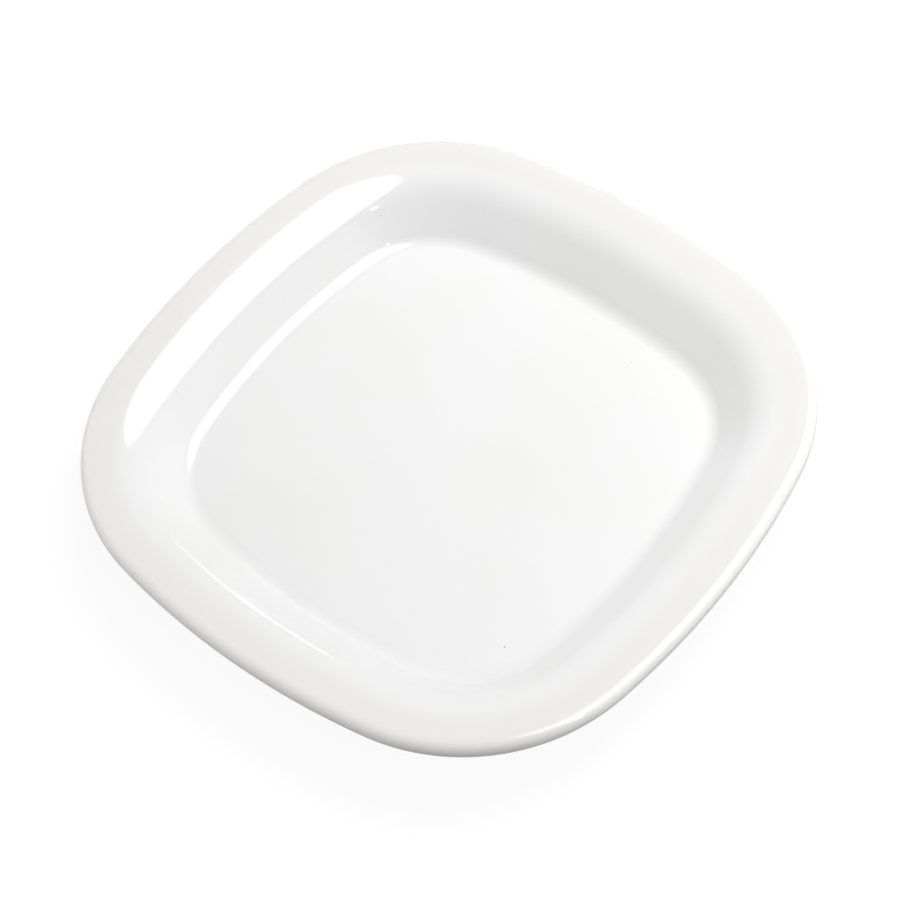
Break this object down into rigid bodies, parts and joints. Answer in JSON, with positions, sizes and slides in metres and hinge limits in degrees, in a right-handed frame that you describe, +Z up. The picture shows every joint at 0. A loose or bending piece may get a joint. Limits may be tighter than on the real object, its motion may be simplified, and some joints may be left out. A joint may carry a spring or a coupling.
{
  "type": "square plate",
  "caption": "Glazed square plate with bowed sides, large corner radii, a shallow well, a curved flange, a rolled lip and a foot ring, for serving and eating food.",
  "frame": {"origin": "middle of the face of the foot ring that the plate stands on", "axes": "+Z up, square to the standing face; +X and +Y towards the middles of two neighbouring sides"},
  "size_m": [0.26, 0.26, 0.03],
  "materials": {
    "fired_clay": "fired porcelain clay, fine and matt where the glaze was wiped off",
    "glaze": "glossy white glaze"
  },
  "bodies": {
    "root": {"fired_body": "fired_clay", "outer_glaze": "glaze", "recess_glaze": "glaze"}
  },
  "joints": []
}
